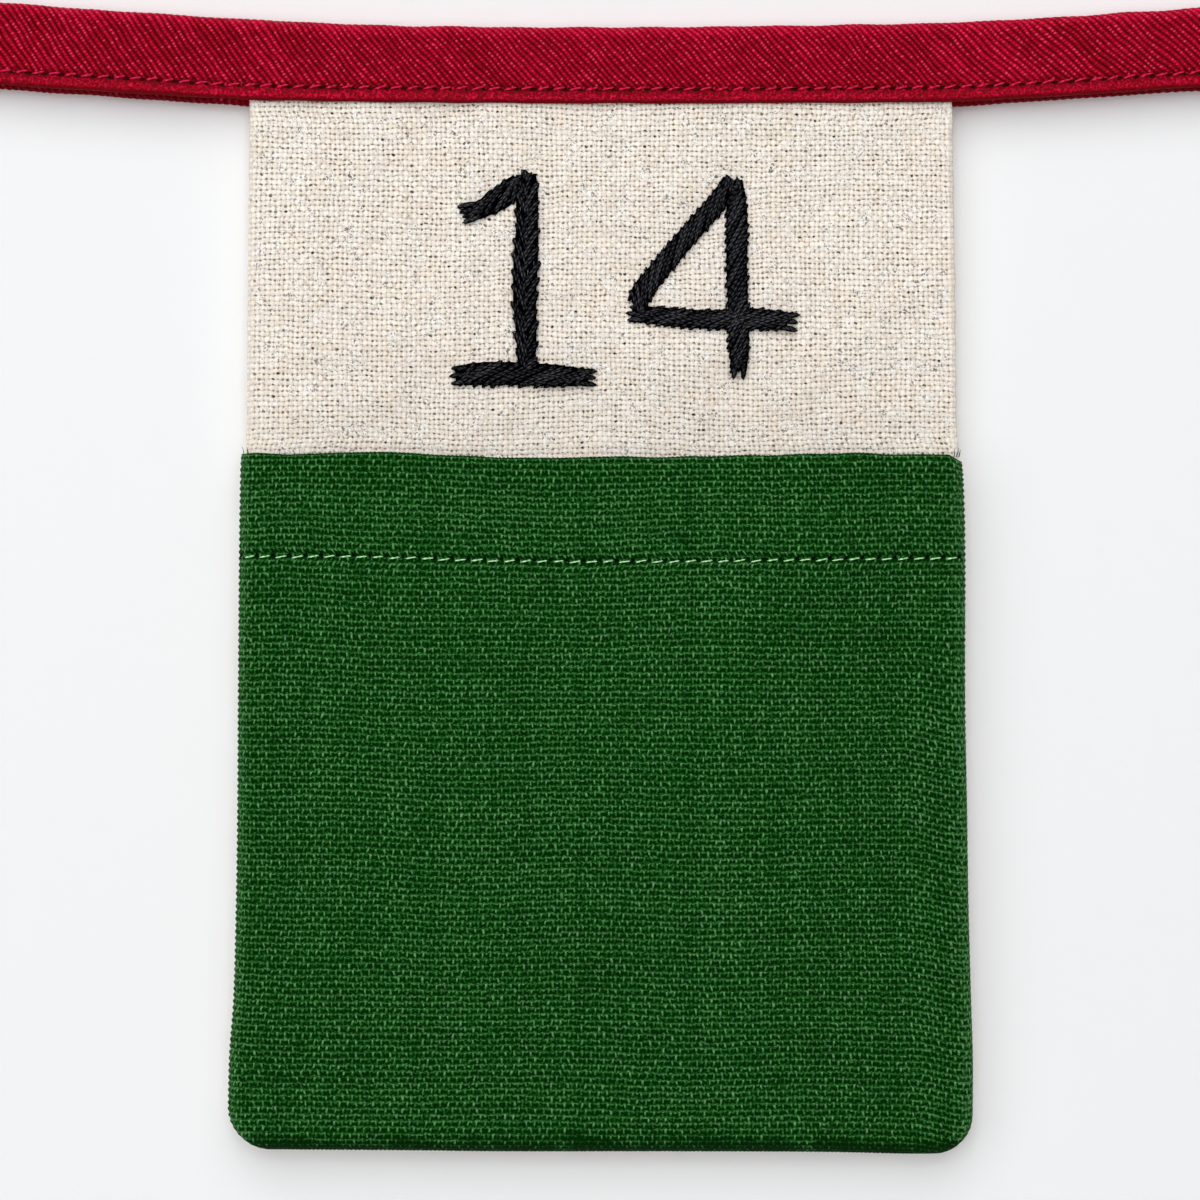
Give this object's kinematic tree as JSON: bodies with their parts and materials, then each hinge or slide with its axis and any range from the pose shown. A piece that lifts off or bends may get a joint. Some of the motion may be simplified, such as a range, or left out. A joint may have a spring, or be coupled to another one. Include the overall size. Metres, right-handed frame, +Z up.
{
  "type": "advent calendar bunting",
  "caption": "Length of an advent calendar bunting: an open canvas pocket on a linen panel with stitched numerals, hung from folded twill binding tape.",
  "frame": {"origin": "middle of the tape's top edge, at the centre of the pocket's width, which is what the bunting hangs from", "axes": "+X along the tape to the right as seen from the front, +Y from the pocket front to the back, +Z up"},
  "size_m": [0.226, 0.0113, 0.18],
  "materials": {
    "tape_twill": "matte twill weave, crimson",
    "panel_linen": "matte plain weave, cream with metallic flecks",
    "pocket_canvas": "matte plain-weave canvas, green",
    "numeral_floss": "soft-sheen stranded cotton floss, black",
    "hem_thread": "satin sewing thread, light green",
    "tape_thread": "satin sewing thread, crimson"
  },
  "bodies": {
    "root": {"binding_tape": "tape_twill", "back_panel": "panel_linen", "pocket_front": "pocket_canvas"}
  },
  "joints": []
}
